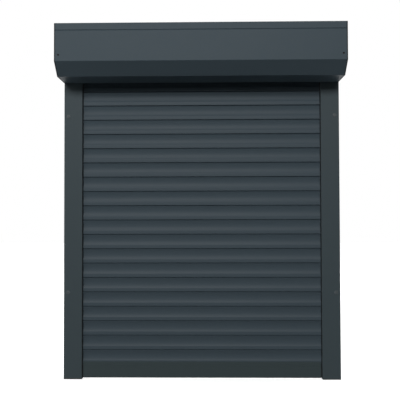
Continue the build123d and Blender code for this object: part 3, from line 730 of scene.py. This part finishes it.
def moulding(name, base, rough=0.46, grain=1500):
    """Moulded plastic with a fine spark-eroded grain and faint flow marks."""
    made = Finish(name)
    flow = made.noise(14, 3, place=made.stretched(1, 1, 0.35))
    spark = made.noise(grain, 3, roughness=0.65)
    tint = made.mix(flow, shade(base, 0.92), shade(base, 1.10))
    shine = rough - 0.04 + spark * 0.12 + flow * 0.04
    made.feed(Base_Color=tint, Roughness=shine, Specular_IOR_Level=0.35)
    made.relief(spark, 18e-6)
    return made.material


def metal(name, base, rough, lines=None):
    """Bare or plated metal, with turned lines or else a zinc spangle."""
    made = Finish(name)
    height = made.noise(1800, 2)
    cloud = made.noise(30, 4, roughness=0.6)
    shine = rough - 0.05 + cloud * 0.12
    if lines:
        tint = made.mix(cloud, shade(base, 0.86), shade(base, 1.05))
        turned = made.noise(1, 2, place=made.stretched(*lines))
        height = height * 0.3 + turned
        shine = shine + turned * 0.08
    else:
        flakes = made.node(
            "ShaderNodeTexVoronoi", None, {"Vector": made.place, "Scale": 140.0}, out="Color"
        )
        level = made.node("ShaderNodeSeparateColor", None, {"Color": flakes})
        tint = made.mix(level, shade(base, 0.80), shade(base, 1.04))
        shine = shine + level * 0.12
    made.feed(Base_Color=tint, Roughness=shine, Metallic=1.0)
    made.relief(height, 6e-6)
    return made.material


# Each surface: how it is made, the setting of its colour, and what differs from the usual values
ALONG, UPRIGHT = (2, 900, 900), (900, 900, 2)
MAKERS = {
    "casing_paint": (powder_coat, "casing", {}),
    # The end caps' darker tone includes painted shade for the dark outline along the casing's ends
    "cast_paint": (powder_coat, "cast", {"grain": 520, "peel": 80e-6, "rough": 0.62}),
    "rail_paint": (powder_coat, "rail", {"brushed": UPRIGHT}),
    "slat_paint": (
        powder_coat, "slat", {"grain": 1300, "peel": 32e-6, "rough": 0.40, "brushed": ALONG}
    ),
    "bar_paint": (powder_coat, "bar", {"brushed": ALONG}),
    "screw_paint": (powder_coat, "screw", {"grain": 1600, "peel": 10e-6, "rough": 0.40}),
    "seal_rubber": (rubber, "rubber", {}),
    "black_plastic": (moulding, "moulded", {}),
    "plug_plastic": (moulding, "plug", {"rough": 0.52, "grain": 1900}),
    "grey_plastic": (moulding, "grey", {}),
    "galvanised_steel": (metal, "zinc", {"rough": 0.42}),
    "bright_steel": (metal, "steel", {"rough": 0.26, "lines": (2600, 40, 40)}),
    "spring_steel": (metal, "spring", {"rough": 0.34, "lines": (20, 1400, 1400)}),
    "motor_shell": (metal, "motor", {"rough": 0.36, "lines": (1600, 30, 30)}),
}
FINISHES = {}


def finish_of(surface):
    """The material of a surface, made when it is first asked for."""
    if surface not in FINISHES:
        maker, setting, values = MAKERS[surface]
        base = tuple(getattr(bpy.context.scene.shutter_colours, setting))
        FINISHES[surface] = maker(surface, base, **values)
    return FINISHES[surface]


# Pieces


def screw_spots():
    """Where the casing screws sit, each with the way that it looks."""
    spots = []
    for x in (SCREW_INSET - HALF, HALF - SCREW_INSET):
        spots.append((Vector((x, FRONT, CREASE + SCREW_RISE_FRONT)), Vector((0, -1, 0))))
        spots.append((Vector((x, WALL, CASING_LOW + SCREW_RISE_BACK)), Vector((0, 1, 0))))
        for y in (-SCREW_REACH_TOP, SCREW_REACH_TOP):
            spots.append((Vector((x, y, TOP)), Vector((0, 0, 1))))
    return spots


def facing(place, out):
    """Matrix that stands a piece made along Z at a place, looking out."""
    return Matrix.Translation(place) @ out.to_track_quat("Z", "Y").to_matrix().to_4x4()


def folded(name, path, inside):
    """A sheet drawn as a strip along its outer face, bent, and given its thickness inwards."""
    sizes = bpy.context.scene.shutter_sizes
    points = [Vector((-SHEET_END, y, z)) for y, z in path]
    piece = blank(name)
    start(points[0])
    draw([points[0], points[0] + Vector((2 * SHEET_END, 0, 0))])
    bpy.ops.mesh.select_all(action="SELECT")
    draw(points)
    for before, here, after in zip(points, points[1:], points[2:]):

        def at_fold(middle, edge):
            return abs(middle.x) < MM and (middle - here).yz.length < MM / 50

        choose(piece, "EDGE", at_fold)
        fold = (here - before).angle(after - here)
        bpy.ops.mesh.bevel(
            offset=sizes.bend * math.tan(fold / 2), segments=sizes.bend_steps, affect="EDGES"
        )
    heal()
    mesh = bmesh.from_edit_mesh(piece.data)
    largest = max(mesh.faces, key=lambda face: face.calc_area())
    if largest.normal.dot(largest.calc_center_median() - inside) < 0:
        bpy.ops.mesh.flip_normals()
    deselect()
    wall = piece.modifiers.new("sheet", "SOLIDIFY")
    wall.thickness = sizes.sheet
    wall.offset = -1
    wall.use_even_offset = True
    apply_all(piece)
    return piece


def sink(piece, spots):
    """Countersunk screw holes in a sheet."""
    head = bpy.context.scene.shutter_sizes.screw_head
    for place, out in spots:
        cutter = added(
            bpy.ops.mesh.primitive_cone_add, vertices=32, radius1=SINK_FOOT,
            radius2=head + SINK_ROOM, depth=SINK_DEPTH, location=(0, 0, -SINK_DEPTH / 2),
        )
        edit(cutter)
        choose(cutter, "FACE", looks_up)
        push((0, 0, MM))
        choose(cutter, "FACE", looks_down)
        push((0, 0, -MM))
        deselect()
        cutter.matrix_world = facing(place, out)
        settle(cutter)
        cut(piece, cutter)


class SHUTTER_OT_casing(bpy.types.Operator):
    """Fold the rear casing and the inspection cover from sheet"""

    bl_idname = "shutter.casing"
    bl_label = "Casing sheets"

    def execute(self, context):
        sizes = context.scene.shutter_sizes
        inside = Vector((0, 0, (TOP + CASING_LOW) / 2))
        path = [(FRONT, SEAM), (FRONT, TOP), (WALL, TOP), (WALL, CASING_LOW)]
        rear = folded("rear_sheet", path, inside)
        sink(rear, [spot for spot in screw_spots() if spot[1].y > -0.5])
        ease(rear, sizes.edge)
        hand_over(rear, "rear_casing")

        # The cover ends over the rails' fronts, and its upper edge slips behind the casing's lip
        end, seam, step = RAIL_FRONT + COVER_REACH, SEAM - COVER_GAP, FRONT + COVER_STEP
        path = [
            (end, CASING_LOW + COVER_EDGE), (end, CASING_LOW), (FRONT + CHAMFER, CASING_LOW),
            (FRONT, CREASE), (FRONT, seam - COVER_FOLD), (step, seam), (step, seam + COVER_EDGE),
        ]
        cover = folded("front_cover", path, inside)
        for x in (-HALF, HALF):
            notch = added(
                bpy.ops.mesh.primitive_cube_add, scale=NOTCH_SIZE,
                size=1, location=(x, end, CASING_LOW + NOTCH_RISE),
            )
            cut(cover, notch)
        sink(cover, [spot for spot in screw_spots() if spot[1].y < -0.5])
        ease(cover, sizes.edge)
        hand_over(cover, "inspection_cover")
        return {"FINISHED"}


class SHUTTER_OT_screws(bpy.types.Operator):
    """Turn one countersunk screw with a cross recess and copy it round the casing"""

    bl_idname = "shutter.screws"
    bl_label = "Casing screws"

    def execute(self, context):
        sizes = context.scene.shutter_sizes
        screw = added(
            bpy.ops.mesh.primitive_cylinder_add, vertices=28, radius=sizes.screw_head,
            depth=SCREW_RIM, location=(0, 0, -SCREW_RIM / 2),
        )
        edit(screw)
        choose(screw, "FACE", looks_down)
        for drop, width in SCREW_RINGS:
            push((0, 0, -drop * MM))
            narrow(width)
        deselect()
        for angle in (0, math.pi / 2):
            blade = added(
                bpy.ops.mesh.primitive_cube_add, scale=(sizes.recess, BLADE_WIDTH, BLADE_DEPTH),
                size=1, location=(0, 0, BLADE_MIDDLE), rotation=(0, 0, angle),
            )
            edit(blade)
            choose(blade, "FACE", looks_down)
            narrow(BLADE_TAPER)
            deselect()
            cut(screw, blade)
        ease(screw, SCREW_EDGE, angle=50, steps=1)
        spots = screw_spots()
        names = [f"casing_screw_{number + 1}" for number in range(len(spots))]
        for copy in spread(screw, names, [facing(*spot) for spot in spots]):
            hand_over(copy, "casing_screws")
        return {"FINISHED"}


class SHUTTER_OT_end_caps(bpy.types.Operator):
    """Ease the edges of the cast end caps and turn the cable grommet"""

    bl_idname = "shutter.end_caps"
    bl_label = "End caps"

    def execute(self, context):
        for side in ("left", "right"):
            eased(f"end_cap_{side}", f"cast_cap_{side}", CAST_EDGE)
        low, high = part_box("cable_grommet")
        middle = (low + high) / 2
        points = [
            Vector((high.x - deep * MM, middle.y + out * MM, middle.z)) for out, deep in GROMMET
        ]
        grommet = blank("cable_inlet_grommet")
        start(points[0])
        draw([*points, points[0]])
        bpy.ops.mesh.select_all(action="SELECT")
        bpy.ops.mesh.remove_doubles(threshold=WELD)
        bpy.ops.mesh.spin(steps=48, angle=2 * math.pi, center=middle, axis=(1, 0, 0))
        heal()
        deselect()
        smooth(grommet)
        hand_over(grommet, "cable_grommet")
        return {"FINISHED"}


def plug_spots():
    """Centres of the plugs on the rails' fronts, the left rail's first."""
    low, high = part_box("rail_plugs")
    edge = PLUG_RADIUS
    return [(x, z) for x in (low.x + edge, high.x - edge) for z in (low.z + edge, high.z - edge)]


class SHUTTER_OT_rails(bpy.types.Operator):
    """Draw and extrude the guide rails, with their seals, feet and inlet funnels"""

    bl_idname = "shutter.rails"
    bl_label = "Guide rails"

    def execute(self, context):
        place = rail_side(-1)[1]
        outlines = (RAIL_OUTLINE, RAIL_CHAMBER)
        loops = [[place(*point, RAIL_LOW) for point in outline] for outline in outlines]
        left = section("extruded_rail_left", loops, (0, 0, RAIL_HIGH - RAIL_LOW))
        for x, z in plug_spots()[:2]:
            for radius, y in FIXING_HOLES:
                drill = added(
                    bpy.ops.mesh.primitive_cylinder_add, vertices=36, radius=radius,
                    depth=FIXING_HOLE_DEPTH, location=(x, y, z), rotation=(math.pi / 2, 0, 0),
                )
                cut(left, drill)
        right = mirrored(left, "extruded_rail_right")
        for name, rail in (("left", left), ("right", right)):
            ease(rail, context.scene.shutter_sizes.edge)
            hand_over(rail, f"guide_rail_{name}")

        for side in (-1, 1):
            name, place = rail_side(side)
            low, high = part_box(f"rail_seals_{name}")
            for face, points in (("front", SEAL_LIP), ("back", flip(SEAL_LIP, RAIL_DEPTH))):
                loop = [place(*point, low.z) for point in points]
                seal = section(f"rubber_lip_{name}_{face}", [loop], (0, 0, high.z - low.z))
                smooth(seal, angle=50)
                hand_over(seal, f"rail_seals_{name}")
            eased(f"rail_foot_{name}", f"foot_cap_{name}", CAST_EDGE)
            eased(f"inlet_funnel_{name}", f"curtain_funnel_{name}", FUNNEL_EDGE)
        return {"FINISHED"}


class SHUTTER_OT_plugs(bpy.types.Operator):
    """Shape one domed plug and copy it over the fixing screws"""

    bl_idname = "shutter.plugs"
    bl_label = "Rail plugs"

    def execute(self, context):
        sizes = context.scene.shutter_sizes
        plug = added(
            bpy.ops.mesh.primitive_cylinder_add, vertices=40, radius=sizes.plug_rim,
            depth=PLUG_RIM_HEIGHT, location=(0, 0, PLUG_RIM_HEIGHT / 2),
        )
        edit(plug)
        choose(plug, "FACE", looks_up)
        reached, height = 1.0, PLUG_RIM_HEIGHT
        for share in PLUG_DOME_SHARES:
            rise = (sizes.plug_dome - PLUG_RIM_HEIGHT) * math.sqrt(1 - share * share)
            push((0, 0, PLUG_RIM_HEIGHT + rise - height))
            narrow(share / reached)
            reached, height = share, PLUG_RIM_HEIGHT + rise
        bpy.ops.mesh.inset(thickness=DIMPLE_INSET, depth=-DIMPLE_DEPTH)
        choose(plug, "FACE", looks_down)
        for width, drop in PLUG_STEM:
            push((0, 0, -drop * MM))
            narrow(width)
        deselect()
        ease(plug, PLUG_EDGE, angle=45)
        spots = plug_spots()
        names = [f"rail_plug_{number + 1}" for number in range(len(spots))]
        places = [facing(Vector((x, RAIL_FRONT, z)), Vector((0, -1, 0))) for x, z in spots]
        for copy in spread(plug, names, places):
            hand_over(copy, "rail_plugs")
        return {"FINISHED"}


class SHUTTER_OT_slats(bpy.types.Operator):
    """Draw one slat with its hollow face, hook and light slots, and copy it up the curtain"""

    bl_idname = "shutter.slats"
    bl_label = "Slats"

    def execute(self, context):
        sizes = context.scene.shutter_sizes
        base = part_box("slat_01")[0].z
        slat = strip("painted_slat", (SLAT_OUTLINE, SLAT_CHAMBER), SLAT_END, base)

        count = int((2 * SLAT_END - 2 * SLOT_END_ROOM) / sizes.slot_pitch)
        first = -(count - 1) / 2 * sizes.slot_pitch
        punch = added(
            bpy.ops.mesh.primitive_cube_add,
            scale=(sizes.slot_length, PUNCH_REACH, sizes.slot_height),
            size=1, location=slat_place(first, base)(*SLOT_CENTRE),
        )
        edit(punch)
        choose(punch, "EDGE", runs_deep)
        rounding = sizes.slot_height * PUNCH_ROUNDING
        bpy.ops.mesh.bevel(offset=rounding, segments=3, affect="EDGES")
        deselect()
        row = punch.modifiers.new("row", "ARRAY")
        row.count = count
        row.use_relative_offset = False
        row.use_constant_offset = True
        row.constant_offset_displace = (sizes.slot_pitch, 0, 0)
        apply_all(punch)
        cut(slat, punch)
        ease(slat, sizes.slat_edge, angle=42)
        nodes = [f"slat_{number:02d}" for number in range(1, SLAT_COUNT + 1)]
        places = [Matrix.Translation((0, 0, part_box(node)[0].z - base)) for node in nodes]
        for node, copy in zip(nodes, spread(slat, [f"painted_{node}" for node in nodes], places)):
            hand_over(copy, node)
        return {"FINISHED"}


class SHUTTER_OT_end_bar(bpy.types.Operator):
    """Draw the end bar with its ribs, chamber and seal groove, and the rubber seal under it"""

    bl_idname = "shutter.end_bar"
    bl_label = "End bar"

    def execute(self, context):
        bar = strip("ribbed_end_bar", (BAR_OUTLINE, BAR_CHAMBER), BAR_END, BAR_DATUM)
        ease(bar, context.scene.shutter_sizes.edge)
        hand_over(bar, "end_bar", surface="bar_paint")
        seal = strip("ground_seal", (BAR_SEAL,), BAR_END, BAR_DATUM)
        smooth(seal, angle=50)
        hand_over(seal, "end_bar_seal")
        return {"FINISHED"}


class SHUTTER_OT_fittings(bpy.types.Operator):
    """Ease the edges of the fittings inside the casing and at the ends of the curtain"""

    bl_idname = "shutter.fittings"
    bl_label = "Roller and fittings"

    def execute(self, context):
        shown = sorted(name for name, node in frame["nodes"].items() if not node.hide_render)
        for name in shown:
            eased(name, f"eased_{name}", TURNED_EDGE if name in TURNED else FITTING_EDGE)
        return {"FINISHED"}


class SHUTTER_OT_stage(bpy.types.Operator):
    """Lay the floor, hang the lamps and stand the camera at the photograph's place"""

    bl_idname = "shutter.stage"
    bl_label = "Stage"

    def lamp(self, name, place, power, width, height):
        """A soft rectangular lamp that looks at the middle of the shutter."""
        deselect()
        way = (Vector((0, 0, TOP / 2)) - Vector(place)).to_track_quat("-Z", "Y").to_euler()
        bpy.ops.object.light_add(type="AREA", location=place, rotation=way)
        lamp = bpy.context.object
        lamp.name = name
        lamp.data.shape = "RECTANGLE"
        lamp.data.size, lamp.data.size_y = width, height
        lamp.data.energy = power

    def floor(self, stage, tints):
        """A pale floor that is white to the eye, keeps the shadow and throws little light."""
        floor = added(bpy.ops.mesh.primitive_plane_add, size=stage.floor_size)
        floor.name = "studio_floor"
        edit(floor)
        bpy.ops.mesh.subdivide(number_cuts=8)
        deselect()
        ground = Finish("floor_paint")
        tint = ground.mix(ground.noise(3, 3), tuple(tints.floor), WHITE[:3])
        ground.feed(Base_Color=tint, Roughness=0.7, Specular_IOR_Level=0.1)
        length = {"operation": "LENGTH"}
        away = ground.node("ShaderNodeVectorMath", length, {0: ground.place}, out="Value")
        rise = ground.ramp(away, stage.glow_start, stage.glow_end)
        glow = rise * (1 - stage.glow) + stage.glow
        lit = ground.node("ShaderNodeEmission", None, {"Color": glow, "Strength": 1.0})
        paint = Wire(ground, ground.shader.outputs[0])
        pale = ground.node("ShaderNodeAddShader", None, {0: paint, 1: lit})
        dark = ground.node("ShaderNodeBsdfDiffuse", None, {"Color": (*tints.bounce, 1)})
        ground.show(dark, pale, "Material Output")
        floor.data.materials.append(ground.material)

    def sky(self, stage):
        """A world that is white to the eye and throws little light."""
        world = bpy.data.worlds.new("studio_sky")
        bpy.context.scene.world = world
        world.use_nodes = True
        sky = Tree(world.node_tree)
        dim, white = (
            sky.node("ShaderNodeBackground", None, {"Color": WHITE, "Strength": strength})
            for strength in (stage.sky, 1.0)
        )
        sky.show(dim, white, "World Output")

    def camera(self, stage):
        """The camera at its place, turned, tilted and rolled."""
        deselect()
        bpy.ops.object.camera_add(location=stage.camera_place)
        camera = bpy.context.object
        camera.name = "photo_camera"
        yaw, pitch, roll = stage.yaw, stage.pitch, stage.roll
        flat = math.cos(pitch)
        ahead = Vector((math.sin(yaw) * flat, math.cos(yaw) * flat, math.sin(pitch)))
        level = Vector((math.cos(yaw), -math.sin(yaw), 0))
        down = ahead.cross(level)
        right = level * math.cos(roll) + down * math.sin(roll)
        up = level * math.sin(roll) - down * math.cos(roll)
        camera.rotation_euler = Matrix((right, up, -ahead)).transposed().to_euler()
        camera.data.sensor_width = 36
        camera.data.lens = stage.lens
        camera.data.clip_start, camera.data.clip_end = 0.05, 100
        bpy.context.scene.camera = camera

    def execute(self, context):
        stage = context.scene.shutter_stage
        for name, place, power, width, height in LAMPS:
            self.lamp(name, place, getattr(stage, power), width, height)
        self.floor(stage, context.scene.shutter_colours)
        self.sky(stage)
        self.camera(stage)
        context.scene.view_settings.view_transform = "Standard"
        return {"FINISHED"}


STEPS = (
    SHUTTER_OT_casing,
    SHUTTER_OT_screws,
    SHUTTER_OT_end_caps,
    SHUTTER_OT_rails,
    SHUTTER_OT_plugs,
    SHUTTER_OT_slats,
    SHUTTER_OT_end_bar,
    SHUTTER_OT_fittings,
    SHUTTER_OT_stage,
)
GROUPS = {
    "shutter_colours": ShutterColours,
    "shutter_sizes": ShutterSizes,
    "shutter_stage": ShutterStage,
}


class SHUTTER_PT_panel(bpy.types.Panel):
    """Sidebar panel with the shutter's settings and steps"""

    bl_idname = "SHUTTER_PT_panel"
    bl_label = "Roller shutter"
    bl_space_type = "VIEW_3D"
    bl_region_type = "UI"
    bl_category = "Shutter"

    def draw(self, context):
        for group in GROUPS:
            box = self.layout.box()
            settings = getattr(context.scene, group)
            for key in settings.bl_rna.properties.keys():
                if key not in ("rna_type", "name"):
                    box.prop(settings, key)
        for step in STEPS:
            self.layout.operator(step.bl_idname)


CLASSES = (*GROUPS.values(), *STEPS, SHUTTER_PT_panel)


def register():
    """Add the classes, and the settings to the scene."""
    for each in CLASSES:
        bpy.utils.register_class(each)
    for name, group in GROUPS.items():
        setattr(bpy.types.Scene, name, bpy.props.PointerProperty(type=group))


def unregister():
    """Take the settings and the classes away again."""
    for name in GROUPS:
        delattr(bpy.types.Scene, name)
    for each in reversed(CLASSES):
        bpy.utils.unregister_class(each)


def main():
    """Build the whole shutter, step by step."""
    register()
    for step in STEPS:
        area, name = step.bl_idname.split(".")
        getattr(getattr(bpy.ops, area), name)()


if __name__ == "__main__":
    main()
